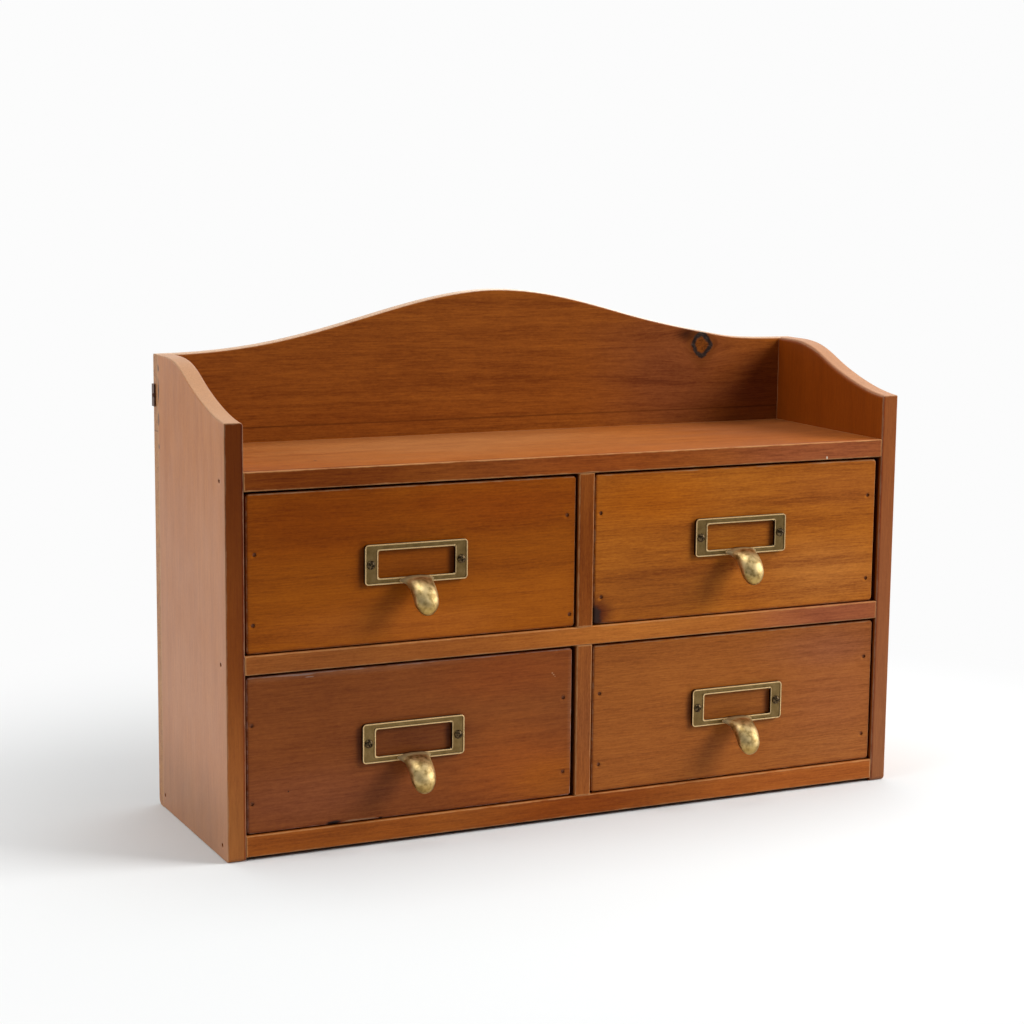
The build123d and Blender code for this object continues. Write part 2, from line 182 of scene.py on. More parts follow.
def nail_heads(node, axis, near_low=True):
    """Middles of a nail node's heads at one end of an axis, in millimetres."""
    flatness, head_across = 0.05, 3.0
    points = [vertex.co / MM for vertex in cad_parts[node].data.vertices]
    limit = (min if near_low else max)(point[axis] for point in points)
    heads = []
    for point in points:
        if abs(point[axis] - limit) > flatness:
            continue
        for head in heads:
            if (head[0] - point).length < head_across:
                head.append(point)
                break
        else:
            heads.append([point])
    return [sum(head, Vector()) / len(head) for head in heads]


# What the wood is coloured with besides its stain, painted highlights and shade among them
# Worn edges, which also stand for a painted highlight along them
WORN_AND_HIGHLIGHT = (0.42, 0.25, 0.14)
ORANGE_WOOD = (0.46, 0.22, 0.085)
DULL_CREST = (0.63, 0.48, 0.38)
# Painted shade inside the openings
SHADE_INSIDE = (0.42, 0.36, 0.32)
BARK = (0.016, 0.01, 0.008), (0.05, 0.035, 0.028)
# Painted shadow that a pull's frame casts on the wood
FRAME_SHADOW = (0.4, 0.33, 0.34)
# Dust along a drawer's edges, together with a painted highlight on them
DUST_AND_HIGHLIGHT = (1.25, 1.75, 3.4)
SEAM = (0.09, 0.045, 0.025)

# Heights between which the front edges change from one tint to the next
TINT_HEIGHTS = (0.0, 110.0, 210.0)
# Heights between which a board's upper faces turn from plain to cut top edges
CUT_HEIGHTS = (215.0, 224.0)
# How far the noises in the grain move its tone
CONTRAST = 2.0


class Board(Shader):
    """A stained and lacquered board, coloured one layer after the other.

    x, y and z are the shaded point's place. along follows the grain, across lies in the wide face and
    through points out of it, all from the middle of the board's box.
    """

    def __init__(self, node, colours, grain, face, seed, knots):
        super().__init__(node)
        self.dark, self.mid, self.light = colours
        self.grain = grain
        self.seed = seed
        low, high = (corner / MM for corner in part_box(node))
        self.half = (high - low) / 2
        self.point = self.place()
        self.x, self.y, self.z = self.split(self.point)
        self.near = self.split(self.vector("SUBTRACT", self.point, tuple((low + high) / 2)))
        third = ({"x", "y", "z"} - {grain, face}).pop()
        self.along, self.across, self.through = (self.near[AXES[axis]] for axis in (grain, third, face))
        self.facing = self.normal()

        # Grain lines run round the knots
        self.flow = self.across
        for along, across, radius in knots:
            du = self.minus(self.along, along)
            dv = self.minus(self.across, across)
            distance_squared = self.add(self.times(du, du, 0.3), self.times(dv, dv), radius * radius * 0.5)
            push = self.math("DIVIDE", radius * radius * 1.2, distance_squared)
            self.flow = self.minus(self.flow, self.times(dv, push))
        grain_place = self.combine(self.along, self.flow, self.through)
        self.seeded = self.vector("ADD", grain_place, (seed * 37.0, seed * 11.0, seed * 5.0))

        # Noises that more than one layer follows
        self.fibre = self.stretched(15, 0.8, detail=4, roughness=0.65)
        self.speck = self.stretched(2.4, 0.7, detail=3, roughness=0.7)
        self.chatter = self.stretched(9, 5, detail=4, roughness=0.65)

    def stretched(self, length, width, detail=2, roughness=0.5):
        """Noise around zero, drawn out along the grain."""
        squeezed = self.vector("MULTIPLY", self.seeded, (1 / length, 1 / width, 1 / width))
        return self.minus(self.noise(squeezed, detail=detail, roughness=roughness), 0.5)

    def growth_rings(self, ring, pith):
        """Late wood, where the board is cut lengthwise through its wavy, slightly tapering rings."""
        distance = self.length(self.minus(self.flow, pith[0]), self.minus(self.through, pith[1]))
        wave = self.times(self.stretched(240, 40), ring * 3.5)
        taper = self.times(self.along, 0.014)
        radius = self.add(distance, wave, taper)
        cycle = self.math("FRACT", self.math("DIVIDE", radius, ring))
        late = self.times(self.step(cycle, 0.2, 0.85), self.step(cycle, 1.0, 0.87))
        return self.times(late, self.step(self.stretched(90, 14), -0.14, 0.14))

    def reach(self, along, across, half_length, half_width):
        """Distance from a place on the wide face: 1 on the ellipse with these half axes."""
        du = self.math("DIVIDE", self.minus(self.along, along), half_length)
        dv = self.math("DIVIDE", self.minus(self.across, across), half_width)
        return self.length(du, dv)

    def apply_patches(self, colour, patches):
        ragged = self.stretched(60, 18, detail=3, roughness=0.55)
        for *ellipse, multiplier, strength in patches:
            reach = self.add(self.reach(*ellipse), self.times(ragged, 0.7))
            colour = self.tint(self.step(reach, 1.3, 0.1, 0.0, strength), colour, multiplier)
        return colour

    def draw_knot(self, colour, along, across, radius):
        """A ring of dark bark with reddish wood inside, its outline between a circle and a diamond."""
        wide = self.times(self.minus(self.along, along), 1.1)
        tall = self.times(self.minus(self.across, across), 0.86)
        diamond = self.times(self.add(self.absolute(wide), self.absolute(tall)), 0.82)
        outline = self.add(self.times(self.length(wide, tall), 0.45), self.times(diamond, 0.55))
        shifted = self.vector("ADD", self.point, (self.seed, 0, 0))
        wobble = self.noise(shifted, scale=0.14, detail=4, roughness=0.6)
        spot = self.add(outline, self.times(self.minus(wobble, 0.5), radius * 0.9))

        halo = self.step(spot, radius * 2.3, radius * 0.9, 0.0, 0.6)
        colour = self.mix(halo, colour, scaled(self.mid, 0.45))
        heart = self.mix(self.step(self.speck, -0.15, 0.15), scaled(self.mid, 0.4), scaled(self.mid, 0.8))
        colour = self.mix(self.step(spot, radius * 0.95, radius * 0.8), colour, heart)
        ring = self.times(
            self.step(spot, radius * 0.56, radius * 0.76), self.step(spot, radius * 1.22, radius * 1.02)
        )
        return self.mix(ring, colour, self.mix(self.step(self.speck, -0.1, 0.2), *BARK))

    def tint_front(self, colour, tints):
        """Tints the edge that faces forward: low, halfway up and high."""
        lower, middle, upper = tints
        tint = self.mix(self.step(self.z, *TINT_HEIGHTS[:2]), lower, middle)
        tint = self.mix(self.step(self.z, *TINT_HEIGHTS[1:]), tint, upper)
        return self.tint(self.step(self.facing[1], -0.4, -0.8), colour, tint)

    def between_sides(self):
        """1 between the cabinet's sides and on their inner faces, 0 in their wood."""
        return self.step(self.absolute(self.x), inner_half + 2.0, inner_half + 0.6)

    def top_line(self, cut):
        """Height of the board's cut top edge: the ogee of a side, or the crest of the back."""
        if cut == "ogee":
            run = self.math("DIVIDE", self.minus(self.y, front_y), ogee_run)
            return self.step(run, 0.0, 1.0, side_front_top, side_rear_top)
        share = self.minus(1.0, self.math("DIVIDE", self.absolute(self.x), half_width))
        return self.step(self.math("POWER", share, 1.2), 0.0, 1.0, side_rear_top, crest_top)

    def rub_top(self, colour, cut, rubbed, bare):
        """Rubs the cut top edge down to bare wood. The crest is palest right of its middle."""
        upward = self.times(self.step(self.facing[2], 0.35, 0.8), self.step(self.z, *CUT_HEIGHTS))
        pale = self.mix(self.step(self.speck, -0.2, 0.2), scaled(bare, 0.88), scaled(bare, 1.14))
        if cut == "crest":
            palest = self.times(self.step(self.x, -50.0, 20.0), self.step(self.x, 145.0, 115.0))
            pale = self.mix(palest, self.mix(1.0, pale, DULL_CREST, "MULTIPLY"), pale)
        return self.mix(self.times(upward, rubbed), colour, pale)

    def darken_ends(self, colour):
        """Ends of the grain drink more stain."""
        end_grain = self.absolute(self.facing[AXES[self.grain]])
        return self.mix(self.step(end_grain, 0.6, 0.95, 0.0, 0.5), colour, scaled(self.dark, 0.8))

    def glue_line(self, colour, height):
        line = self.absolute(self.minus(self.z, height))
        return self.mix(self.step(line, 0.7, 0.2, 0.0, 0.5), colour, scaled(self.dark, 0.45))

    def shade_openings(self, colour):
        """Painted shade on what lies under the tray, behind the front edges and between the sides."""
        inside = self.times(
            self.step(self.y, front_y + 1.4, front_y + 2.4),
            self.step(self.z, tray_floor - 0.6, tray_floor - 1.4),
            self.between_sides(),
            self.step(self.facing[1], 0.6, 0.3),
        )
        return self.tint(inside, colour, SHADE_INSIDE)

    def edge_distance(self, cut):
        """Distance from the board's nearest edge, from its three distances inside its own box."""
        inside_x = self.minus(self.half.x, self.absolute(self.near[0]))
        inside_y = self.minus(self.half.y, self.absolute(self.near[1]))
        if cut:
            inside_z = self.math("MINIMUM", self.minus(self.top_line(cut), self.z), self.z)
        else:
            inside_z = self.minus(self.half.z, self.absolute(self.near[2]))
        smaller = self.math("MINIMUM", inside_x, inside_y)
        larger = self.math("MAXIMUM", inside_x, inside_y)
        return self.math("MAXIMUM", smaller, self.math("MINIMUM", larger, inside_z))

    def wear_and_highlight_edges(self, colour, cut, edge_wear_and_highlight, worn_and_highlight):
        """Wears the edges through here and there; the worn colour also paints a highlight along them."""
        edge = self.add(self.edge_distance(cut), self.times(self.chatter, 1.6))
        return self.mix(self.times(self.step(edge, 0.95, 0.2), edge_wear_and_highlight), colour, worn_and_highlight)

    def set_nail(self, colour, height, head):
        """A nail's dimple: a dark pit, with a painted highlight on its lip at the lower left."""
        pit = self.vector("DISTANCE", self.point, tuple(head))
        colour = self.mix(self.step(pit, 2.2, 1.2, 0.0, 0.25), colour, scaled(self.dark, 0.5))
        lip_highlight = self.vector("DISTANCE", self.point, tuple(head + Vector((-1.0, 0.0, -1.0))))
        lip_highlight = self.times(self.step(lip_highlight, 1.7, 0.7), self.step(pit, 1.1, 1.6))
        colour = self.mix(self.times(lip_highlight, 0.35), colour, scaled(self.light, 1.3))
        return colour, self.add(height, self.times(self.step(pit, 2.4, 1.0), -1.2))

    def dent(self, colour, height, along, across, half_length, half_width, dent_colour, depth=None):
        """A dent or chip. depth, if there is one, is its place and reach through the board."""
        reach = self.reach(along, across, half_length, half_width)
        dent = self.step(self.add(reach, self.times(self.chatter, 1.4)), 1.0, 0.5)
        if depth:
            place, span = depth
            off = self.absolute(self.minus(self.through, place))
            dent = self.times(dent, self.step(off, span, span / 2))
        return self.mix(dent, colour, dent_colour), self.add(height, self.times(dent, -0.6))


def wood(node, colours, grain="x", face="y", seed=0.0, ring=5.0, pith=(60.0, -45.0), rings=0.06, fibres=0.6,
         specks=0.4, streaks=0.18, bands=0.2, blotches=0.16, top=None, rubbed=0.6, bare=None, patches=(),
         knots=(), nails=(), marks=(), seam=None, edge_wear_and_highlight=0.7, worn_and_highlight=WORN_AND_HIGHLIGHT, roughness=0.42, gloss=0.1,
         front_tints=None, inner_shade=None, shaded_openings=False):
    """Gives a board its material.

    grain and face name the axes along the grain and out of the wide face. ring is the spacing of the
    growth rings and pith their middle, across and through the board. rings, fibres, specks, streaks,
    bands and blotches say how strong each is. wear says how far the edges have gone to the colour
    worn, which stands both for rubbed-through edges and for a painted highlight along them. top names
    the cut of a top edge, and rubbed says how far it has gone to the colour bare, or else to worn.
    front_tints multiply the colour of the face that looks forward, at its foot, halfway up and at its
    top, and inner_shade, as painted shade, that of the face inside the tray.
    patches are soft stains, some of them painted light and shade (along, across, half length, half
    width, multiplier, strength); knots are (along, across, radius); nails are the heads of nails set in
    the board; marks are small dents (along, across, half length, half width, colour), some with a
    (place, reach) through the board too; seam is the height of a glue line. carcass is for boards that
    get painted shade inside the openings.
    """
    board = Board(node, colours, grain, face, seed, knots)
    late = board.growth_rings(ring, pith)
    layers = (
        (late, -rings),
        (board.fibre, fibres),
        (board.stretched(190, 2.6, detail=4, roughness=0.6), streaks),
        (board.stretched(420, 8.0), bands),
        (board.stretched(55, 26, detail=3), blotches),
        (board.speck, specks),
    )
    tone = board.add(0.5, *(board.times(layer, strength * CONTRAST) for layer, strength in layers))
    colour = board.ramp(tone, ((0.1, board.dark), (0.5, board.mid), (0.9, board.light)))

    colour = board.apply_patches(colour, patches)
    for knot in knots:
        colour = board.draw_knot(colour, *knot)
    if front_tints:
        colour = board.tint_front(colour, front_tints)
    if inner_shade:
        colour = board.tint(board.between_sides(), colour, inner_shade)
    if top:
        colour = board.rub_top(colour, top, rubbed, bare or worn_and_highlight)
    else:
        colour = board.darken_ends(colour)
    if seam:
        colour = board.glue_line(colour, seam)
    if shaded_openings:
        colour = board.shade_openings(colour)
    colour = board.wear_and_highlight_edges(colour, top, edge_wear_and_highlight, worn_and_highlight)

    height = board.add(board.times(board.fibre, 0.5), board.times(late, 0.2))
    for head in nails:
        colour, height = board.set_nail(colour, height, head)
    for mark in marks:
        colour, height = board.dent(colour, height, *mark)

    shine = board.stretched(24, 10, detail=3)
    board.set("Base Color", colour)
    board.set("Roughness", board.add(roughness, board.times(shine, 0.16), board.times(board.fibre, 0.1)))
    board.set("Specular IOR Level", gloss)
    board.bump(height, 0.1, 0.45)
    board.use_on(node)


def stain(middle, spread=0.34):
    """Dark, middle and light tones of one stain: redder where dark, more golden where light."""
    red, green, blue = middle
    dark = (red * (1 - spread), green * (1 - spread * 1.25), blue * (1 - spread * 1.2))
    light = (red * (1 + spread * 0.85), green * (1 + spread * 1.15), blue * (1 + spread))
    return dark, middle, light


RED_BROWN = stain(srgb(125, 66, 28))
ORANGE_BROWN = stain(srgb(143, 73, 11))
GOLDEN = stain(srgb(162, 91, 26), 0.4)
MID_BROWN = stain(srgb(149, 84, 33))
RAIL = stain(srgb(148, 81, 30))
# Paler and pinker than the other stains, in part as a painted sheen of the lacquer
SIDE_AND_SHEEN = stain(srgb(174, 120, 85), 0.22)
BACK = stain(srgb(136, 73, 24), 0.38)
FOOT = stain(srgb(140, 75, 25))
INSIDE = stain(srgb(158, 98, 50))

# Places across a board: the front edge of a shelf or divider, and the rear edge of a side
FRONT_EDGE = -56.0
REAR_EDGE = 55.9

# The sides' front edges are tinted away from that painted sheen, the left one darker towards the top as
# painted shade; the inner tint below is painted shade on their inner faces
side_looks = {
    "side_left": dict(
        seed=1.3,
        front_tints=((0.87, 0.62, 0.27), (0.47, 0.25, 0.053), (0.3, 0.145, 0.026)),
        patches=(
            (90.0, 0.0, 60.0, 120.0, (0.98, 0.83, 0.52), 0.8),
            (-60.0, 0.0, 45.0, 120.0, (1.06, 1.12, 1.22), 0.9),
            (-115.0, 0.0, 35.0, 120.0, (0.81, 0.87, 0.93), 1.0),
        ),
        marks=(
            (117.7, REAR_EDGE, 2.2, 2.4, SEAM),
            (106.0, REAR_EDGE, 7.5, 2.1, SEAM),
            (90.0, REAR_EDGE, 5.0, 2.1, SEAM),
            (75.5, REAR_EDGE, 2.0, 2.0, SEAM),
        ),
    ),
    "side_right": dict(
        seed=2.9,
        front_tints=((0.6, 0.46, 0.32), (0.61, 0.42, 0.27), (0.63, 0.4, 0.2)),
        rubbed=0.3,
    ),
}
for node, look in side_looks.items():
    heads = nail_heads("side_nails", 0, near_low=node == "side_left")
    wood(node, SIDE_AND_SHEEN, grain="z", face="x", ring=7.0, pith=(20.0, -120.0), streaks=0.15, bands=0.15, top="ogee",
         fibres=0.5, specks=0.28, nails=heads, edge_wear_and_highlight=0.4, gloss=0.14, inner_shade=(0.54, 0.25, 0.04),
         shaded_openings=True, **look)

# The back panel's ends are much paler than its face
pale_ends = [(end, 0.0, 2.5, 500.0, (1.6, 2.8, 8.5), 1.0) for end in (-half_width, half_width)]
wood("back_panel", BACK, seed=4.1, ring=6.0, pith=(-30.0, -90.0), rings=0.08, streaks=0.18, bands=0.22,
     top="crest", rubbed=0.95, bare=(0.84, 0.72, 0.59), worn_and_highlight=(0.56, 0.36, 0.22), edge_wear_and_highlight=0.35,
     knots=((136.0, 106.0, 6.4),), seam=208.5, shaded_openings=True,
     patches=(
         (120.0, 90.0, 60.0, 60.0, (0.8, 0.82, 1.75), 0.9),
         # Painted shadow that the right side casts on the back's right end
         (176.0, 78.0, 26.0, 26.0, (0.68, 0.6, 1.1), 0.9),
         (-70.0, 66.0, 90.0, 12.0, (0.9, 0.84, 0.84), 0.9),
         (126.5, 112.0, 10.0, 5.0, (0.14, 0.12, 0.16), 0.9),
         *pale_ends,
     ))

shelf_looks = {
    "top_shelf": dict(
        colours=RAIL, seed=5.7, ring=6.0, pith=(30.0, -70.0), edge_wear_and_highlight=0.8, fibres=0.8, streaks=0.1, bands=0.12,
        patches=(
            (-150.0, FRONT_EDGE, 110.0, 5.0, (0.6, 0.46, 0.3), 1.0),
            (10.0, FRONT_EDGE, 90.0, 5.0, (0.84, 0.67, 0.63), 1.0),
            (150.0, FRONT_EDGE, 90.0, 5.0, (0.95, 0.92, 1.85), 1.0),
            # Paler towards the left of the tray floor: painted sheen and light
            (-50.0, 20.0, 170.0, 70.0, (1.1, 1.5, 3.0), 0.9),
            # Darker at the right end of the tray floor: painted shadow of the right side
            (160.0, 20.0, 70.0, 70.0, (0.82, 0.88, 1.45), 0.9),
        ),
        marks=(
            (153.4, FRONT_EDGE, 0.6, 1.5, (0.6, 0.48, 0.36), (-3.8, 1.0)),
            (-141.4, -27.0, 1.4, 1.5, (0.06, 0.03, 0.02)),
        ),
    ),
    "middle_shelf": dict(
        colours=RAIL, seed=6.3, pith=(20.0, -60.0),
        patches=(
            (45.0, FRONT_EDGE, 95.0, 60.0, (1.44, 1.62, 1.7), 1.0),
            (-150.0, FRONT_EDGE, 90.0, 60.0, (0.94, 1.0, 1.3), 1.0),
            (165.0, FRONT_EDGE, 60.0, 60.0, (0.96, 0.95, 2.3), 1.0),
        ),
    ),
    "bottom_board": dict(
        colours=FOOT, seed=7.9, pith=(25.0, -60.0),
        patches=(
            (150.0, FRONT_EDGE, 110.0, 60.0, (1.24, 1.2, 1.3), 1.0),
            (0.0, FRONT_EDGE, 60.0, 60.0, (0.87, 0.69, 0.42), 1.0),
            (-150.0, FRONT_EDGE, 90.0, 60.0, (1.09, 1.04, 0.9), 1.0),
        ),
    ),
}
for node, look in shelf_looks.items():
    wood(node, grain="x", face="z", worn_and_highlight=ORANGE_WOOD, shaded_openings=True, **look)
for node, seed, pith, multiplier in (
    ("divider_upper", 8.2, (10.0, -60.0), (0.7, 0.6, 0.42)),
    ("divider_lower", 9.4, (14.0, -60.0), (0.84, 0.88, 1.3)),
):
    wood(node, RAIL, grain="z", face="x", seed=seed, pith=pith, worn_and_highlight=ORANGE_WOOD, shaded_openings=True,
         patches=((0.0, FRONT_EDGE, 60.0, 30.0, multiplier, 1.0),))

# Some patches on the fronts are painted light: darker towards the upper left, lighter towards the lower right
drawer_looks = {
    "upper_left": dict(
        colours=ORANGE_BROWN, seed=11.0, pith=(-70.0, -50.0), rings=0.03, bands=0.24,
        patches=(
            (-55.0, 25.0, 70.0, 26.0, (0.78, 0.64, 0.46), 0.9),
            (60.0, -25.0, 75.0, 22.0, (1.2, 1.26, 1.5), 0.9),
            (-20.0, -32.0, 70.0, 14.0, (1.3, 1.42, 3.3), 0.8),
            # Painted shade inside the pull's window
            (0.0, 0.0, 32.0, 11.0, (0.76, 0.73, 1.1), 0.8),
            (50.0, 28.0, 60.0, 18.0, (0.97, 0.82, 0.76), 0.9),
        ),
    ),
    "upper_right": dict(
        colours=GOLDEN, seed=12.0, pith=(60.0, -50.0), rings=0.06, ring=9.0, streaks=0.16, bands=0.32,
        patches=(
            (-55.0, -25.0, 50.0, 22.0, (0.72, 0.69, 0.9), 0.9),
            (55.0, -22.0, 50.0, 24.0, (1.14, 1.3, 2.3), 0.9),
            (-88.0, -36.0, 11.0, 12.0, (0.3, 0.2, 0.4), 1.0),
            # Painted shade inside the pull's window
            (0.0, 2.0, 32.0, 11.0, (0.9, 0.94, 0.94), 0.8),
            (-60.0, 26.0, 50.0, 20.0, (0.98, 0.85, 0.42), 0.9),
            (70.0, 28.0, 50.0, 16.0, (0.88, 0.85, 1.2), 0.9),
        ),
        marks=((-90.0, -36.0, 6.0, 8.0, (0.03, 0.014, 0.01)),),
    ),
    "lower_left": dict(
        colours=RED_BROWN, seed=13.0, pith=(80.0, -60.0), rings=0.02, streaks=0.14, bands=0.14, blotches=0.24,
        edge_wear_and_highlight=0.75, worn_and_highlight=(0.4, 0.25, 0.2),
        patches=(
            # Dust and a painted highlight along the top edge and down the right edge
            (-45.0, 41.2, 80.0, 3.4, DUST_AND_HIGHLIGHT, 0.85),
            (91.5, 10.0, 2.2, 40.0, DUST_AND_HIGHLIGHT, 0.6),
            (60.0, -22.0, 50.0, 28.0, (1.33, 1.2, 0.84), 0.9),
            (78.0, -30.0, 28.0, 14.0, (1.15, 1.2, 0.7), 0.9),
            # Painted shade inside the pull's window
            (0.0, 0.0, 34.0, 12.0, (0.66, 0.66, 0.75), 0.8),
            (60.0, 30.0, 50.0, 16.0, (1.14, 1.0, 0.9), 0.8),
            (-60.0, 25.0, 50.0, 22.0, (0.93, 0.92, 0.9), 0.8),
            (-60.0, -25.0, 60.0, 20.0, (1.02, 1.07, 1.7), 0.8),
        ),
        marks=(
            (-62.0, 40.0, 8.0, 0.45, (0.24, 0.15, 0.12)),
            (-58.0, 38.6, 3.0, 0.3, (0.26, 0.16, 0.12)),
            (80.2, 28.2, 0.6, 0.5, (0.36, 0.18, 0.08)),
            (81.0, 27.2, 0.6, 0.5, (0.36, 0.18, 0.08)),
            (81.8, 26.2, 0.5, 0.4, (0.36, 0.18, 0.08)),
            (-45.0, -40.0, 5.0, 1.5, (0.015, 0.008, 0.007)),
            (-31.0, -40.0, 10.0, 0.8, (0.36, 0.19, 0.1)),
            (-19.0, -40.3, 1.4, 0.8, (0.02, 0.01, 0.008)),
            (-70.0, -20.5, 0.7, 0.6, (0.04, 0.02, 0.012)),
        ),
    ),
    "lower_right": dict(
        colours=MID_BROWN, seed=14.0, pith=(-80.0, -50.0), rings=0.05,
        patches=(
            (65.0, 0.0, 50.0, 60.0, (0.98, 1.0, 1.6), 0.8),
            # Painted shade inside the pull's window
            (-5.0, 0.0, 34.0, 11.0, (0.78, 0.78, 0.7), 0.8),
            (60.0, -28.0, 45.0, 14.0, (1.12, 1.2, 1.1), 0.8),
            (60.0, 30.0, 50.0, 14.0, (0.92, 0.95, 1.4), 0.8),
        ),
    ),
}
drawer_nodes = [f"drawer_{name}" for name in drawer_looks]

# The pulls: from a pull's top down to the middle of its frame, from there to just outside its left
# edge, and half the width of its window
FRAME_DROP = 10.5
BESIDE_FRAME = -29.4
WINDOW_HALF = 21.0


def pull_frame_shadows(node):
    """Painted shadow of a pull's frame: beside its left edge, and inside its window on the right."""
    pull_low, pull_high = (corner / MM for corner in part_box(f"{node}_pull"))
    front_low, front_high = (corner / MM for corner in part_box(f"{node}_front"))
    along = (pull_low.x + pull_high.x - front_low.x - front_high.x) / 2
    across = pull_high.z - FRAME_DROP - (front_low.z + front_high.z) / 2
    return (
        (along + BESIDE_FRAME, across, 3.2, 12.5, FRAME_SHADOW, 0.85),
        (along + WINDOW_HALF, across, 3.4, 9.0, FRAME_SHADOW, 0.9),
    )


for node, look in zip(drawer_nodes, drawer_looks.values()):
    # Painted shadows of the pull's frame
    look["patches"] += pull_frame_shadows(node)
    wood(f"{node}_front", nails=nail_heads(f"{node}_nails", 1), **look)
    seed = look["seed"]
    for side, shift in (("left", 0.2), ("right", 0.4)):
        wood(f"{node}_side_{side}", INSIDE, grain="y", face="x", seed=seed + shift, roughness=0.55)
    wood(f"{node}_back", INSIDE, seed=seed + 0.6, roughness=0.55)
    wood(f"{node}_bottom", INSIDE, grain="x", face="z", seed=seed + 0.8, ring=9.0, edge_wear_and_highlight=0.2, roughness=0.6)


def metal(name, nodes, dark, light, roughness=0.4, metallic=1.0):
    """Aged metal with darker and lighter patches."""
    shader = Shader(name)
    patina = shader.noise(shader.place(), scale=0.9, detail=4, roughness=0.6)
    shader.set("Base Color", shader.mix(shader.step(patina, 0.35, 0.65), dark, light))
    shader.set("Roughness", shader.add(roughness - 0.1, shader.times(patina, 0.2)))
    shader.set("Metallic", metallic)
    shader.bump(patina, 0.04, 0.4)
    shader.use_on(*nodes)


def brass(node):
    """Antique brass: olive patina in the channel, rubbed golden on the rims and the finger pull.

    out is the distance in front of the drawer, across and up are places from the frame's middle.
    """
    shader = Shader(node)
    low, high = (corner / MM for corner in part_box(node))
    place = shader.place()
    x, y, z = shader.split(place)
    out = shader.minus(high.y, y)
    across = shader.minus(x, (low.x + high.x) / 2)
    up = shader.minus(z, high.z - FRAME_DROP)
    mottle = shader.noise(place, scale=0.3, detail=4, roughness=0.55)
    fine = shader.noise(place, scale=2.2, detail=4, roughness=0.65)
    pitting = shader.add(shader.times(mottle, 0.6), shader.times(fine, 0.4))

    olive = (0.3, srgb(99, 78, 45)), (0.5, srgb(121, 98, 60)), (0.7, srgb(140, 116, 76))
    patina = shader.ramp(pitting, olive)
    gold = shader.mix(shader.step(mottle, 0.3, 0.7), srgb(196, 166, 106), srgb(230, 204, 148))
    gold = shader.tint(shader.step(up, -16.0, -23.0), gold, (0.64, 0.56, 0.38))

    # The rims, 2 mm out, stand proud of the channel between them, 1.5 mm out, and are rubbed bright
    rim = shader.times(shader.step(out, 1.62, 1.92), shader.step(out, 2.4, 2.1))
    rim = shader.times(rim, shader.step(fine, 0.3, 0.5, 0.45, 1.0))
    # So is the outer part of the finger pull
    beak = shader.times(shader.step(out, 2.2, 6.5), shader.step(up, -6.0, -7.0))
    beak = shader.times(beak, shader.step(mottle, 0.34, 0.5, 0.55, 1.0))
    colour = shader.mix(beak, patina, gold)
    colour = shader.mix(rim, colour, srgb(222, 190, 138))

    # The root of the finger pull is dull. The frame's low walls and the right wall of its window are darkened
    # as painted shade.
    root = shader.times(shader.step(out, 2.1, 2.4), shader.step(out, 7.5, 3.5), shader.step(up, -6.0, -6.8))
    colour = shader.mix(shader.times(root, 0.6), colour, srgb(158, 138, 104))
    shaded_window_wall = shader.times(
        shader.step(across, WINDOW_HALF, WINDOW_HALF + 0.3),
        shader.step(across, WINDOW_HALF + 0.95, WINDOW_HALF + 0.75),
        shader.step(shader.absolute(up), 7.5, 7.2),
    )
    painted_shade = shader.math("MAXIMUM", shader.step(out, 1.45, 1.1), shaded_window_wall)
    shader.set("Base Color", shader.mix(painted_shade, colour, srgb(62, 42, 24)))
    shader.set("Metallic", shader.minus(1.0, shader.times(root, 0.55)))
    shader.set("Roughness", shader.add(0.24, shader.times(mottle, 0.2), shader.times(fine, 0.12)))
    shader.bump(pitting, 0.12, 0.4)
    shader.use_on(node)


for node in drawer_nodes:
    brass(f"{node}_pull")
metal("screw_metal", [f"{node}_pull_screws" for node in drawer_nodes], srgb(46, 36, 26), srgb(112, 92, 64),
      roughness=0.28)
metal("hanger_metal", ["hanger_left", "hanger_right", "hanger_screws"], srgb(58, 36, 28), srgb(104, 70, 52))
metal("nail_metal", [f"{node}_nails" for node in ("side", "back", "divider", *drawer_nodes)],
      srgb(104, 56, 28), srgb(150, 86, 46), roughness=0.6, metallic=0.3)

# Floor: white, keeping the shadow near the object and fading into the backdrop further out. Gloss and
# bounced light see it darker in front of the object.
WHITE = (0.973, 0.973, 0.973, 1.0)
PAPER = (0.7, 0.714, 0.714)
BOUNCED_FRONT = (0.22, 0.22, 0.22)
MIRRORED_FRONT = (0.2, 0.2, 0.2)
FLOOR_HALF = 6.0

floor_mesh = bpy.data.meshes.new("floor")
floor_corners = [(x * FLOOR_HALF, y * FLOOR_HALF, 0.0) for x, y in ((-1, -1), (1, -1), (1, 1), (-1, 1))]
floor_mesh.from_pydata(floor_corners, [], [(0, 1, 2, 3)])
floor = bpy.data.objects.new("floor", floor_mesh)
bpy.context.scene.collection.objects.link(floor)

paper = Shader("floor_paper")
paper.set("Roughness", 0.9)
paper.set("Specular IOR Level", 0.1)
glow = paper.node("Emission", (WHITE,))
floor_rays = paper.node("LightPath").outputs
seen = paper.math("MAXIMUM", floor_rays["Is Camera Ray"], floor_rays["Is Glossy Ray"])
spread = paper.vector("LENGTH", paper.vector("MULTIPLY", paper.place(), (0.95, 1.0, 0.0)))
depth = paper.split(paper.place())[1]
bounced = paper.mix(paper.step(depth, -60.0, -420.0), PAPER, BOUNCED_FRONT)
far_front = paper.step(depth, -400.0, -900.0)
mirrored = paper.mix(far_front, PAPER, MIRRORED_FRONT)
unseen = paper.mix(floor_rays["Is Glossy Ray"], bounced, mirrored)
paper.set("Base Color", paper.mix(floor_rays["Is Camera Ray"], unseen, PAPER))
glowing = paper.minus(seen, paper.times(floor_rays["Is Glossy Ray"], far_front))
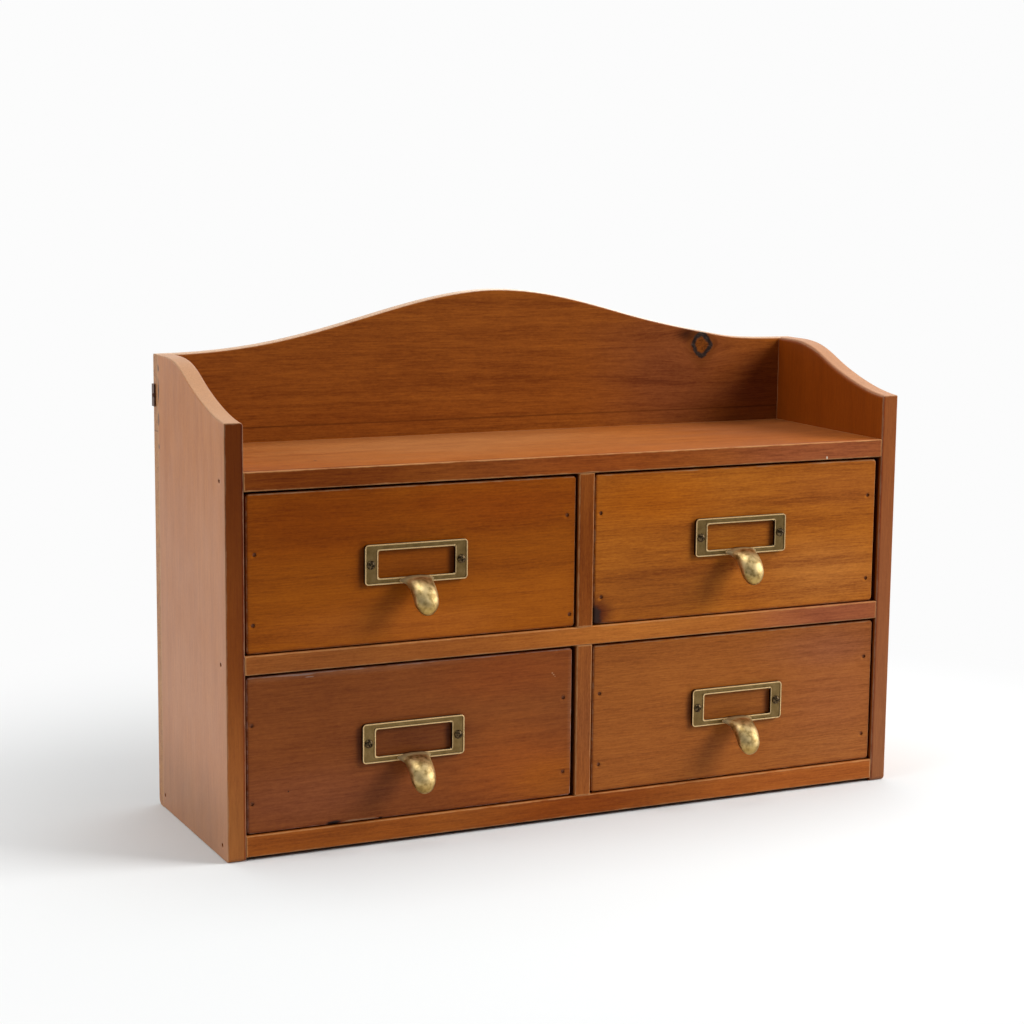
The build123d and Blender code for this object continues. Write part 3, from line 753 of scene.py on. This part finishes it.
glowing = paper.times(glowing, paper.step(spread, 200.0, 480.0))
blend = paper.node("MixShader", (glowing, paper.surface.outputs[0], glow.outputs[0]))
paper.feed(paper.nodes["Material Output"].inputs["Surface"], blend.outputs[0])
floor_mesh.materials.append(paper.material)

# World: white to the eye; as a light it is a studio, bright behind and above the object, dim in front.
# Gloss sees soft boxes in it: their direction, the cosine where they begin, and their strength.
SOFT_BOXES = (
    ((0.9, -0.34, 0.28), 0.84, 2.4),
    ((-0.28, 0.12, 0.95), 0.9, 3.2),
    ((0.35, -0.62, 0.7), 0.78, 0.5),
)
world = bpy.data.worlds.new("studio")
bpy.context.scene.world = world
world.use_nodes = True
sky = Graph(world.node_tree)
sky_rays = sky.node("LightPath").outputs
direction = sky.node("TexCoord").outputs["Generated"]
behind = sky.split(direction)[1]
as_light = sky.step(behind, -0.35, 0.45, 0.12, 0.7)
as_gloss = sky.step(behind, -0.3, 0.3, 0.24, 1.0)
for facing, edge, strength in SOFT_BOXES:
    cosine = sky.vector("DOT_PRODUCT", direction, Vector(facing).normalized())
    as_gloss = sky.add(as_gloss, sky.step(cosine, edge, (1.0 + edge) / 2, 0.0, strength))
lit = sky.step(sky_rays["Is Glossy Ray"], 0.0, 1.0, as_light, as_gloss)
see_through = sky.math("MAXIMUM", sky_rays["Is Camera Ray"], sky_rays["Is Transmission Ray"])
background = sky.nodes["Background"]
sky.feed(background.inputs["Color"], WHITE)
sky.feed(background.inputs["Strength"], sky.step(see_through, 0.0, 1.0, lit, 1.0))


def area_light(name, place, target, size, power):
    """A soft rectangular lamp that faces its target."""
    lamp = bpy.data.lights.new(name, "AREA")
    lamp.shape = "RECTANGLE"
    lamp.size, lamp.size_y = size
    lamp.energy = power
    holder = bpy.data.objects.new(name, lamp)
    holder.location = place
    holder.rotation_euler = (Vector(target) - Vector(place)).to_track_quat("-Z", "Y").to_euler()
    # Gloss sees the world's soft boxes instead
    holder.visible_glossy = False
    bpy.context.scene.collection.objects.link(holder)


area_light("key", (1.45, -0.76, 1.06), (0.0, 0.0, 0.12), (1.1, 0.85), 46.5)
area_light("fill", (-1.7, -0.2, 0.9), (0.0, 0.0, 0.12), (1.2, 1.0), 14.0)
area_light("overhead", (0.0, 0.2, 1.7), (0.0, 0.0, 0.1), (1.2, 1.0), 11.0)

# Camera, fitted to the photograph: its place, its angles and its focal length in pixels
CAMERA_PLACE = Vector((-543.795, front_y - 1050.387, 352.428))
azimuth, elevation, roll = math.radians(-25.521), math.radians(8.819), math.radians(0.581)
FOCAL_PIXELS = 2240.436
IMAGE_PIXELS = 1024
SENSOR = 36.0

back = Vector((
    math.sin(azimuth) * math.cos(elevation),
    -math.cos(azimuth) * math.cos(elevation),
    math.sin(elevation),
))
level = Vector((math.cos(azimuth), math.sin(azimuth), 0.0))
upright = back.cross(level)
right = level * math.cos(roll) + upright * math.sin(roll)
up = upright * math.cos(roll) - level * math.sin(roll)
camera_data = bpy.data.cameras.new("camera")
camera_data.sensor_width = SENSOR
camera_data.lens = FOCAL_PIXELS / IMAGE_PIXELS * SENSOR
camera_data.clip_end = 50.0
camera = bpy.data.objects.new("camera", camera_data)
turn = Matrix((right, up, back)).transposed().to_4x4()
camera.matrix_world = Matrix.Translation(CAMERA_PLACE * MM) @ turn
bpy.context.scene.collection.objects.link(camera)
bpy.context.scene.camera = camera

bpy.context.scene.view_settings.view_transform = "Standard"
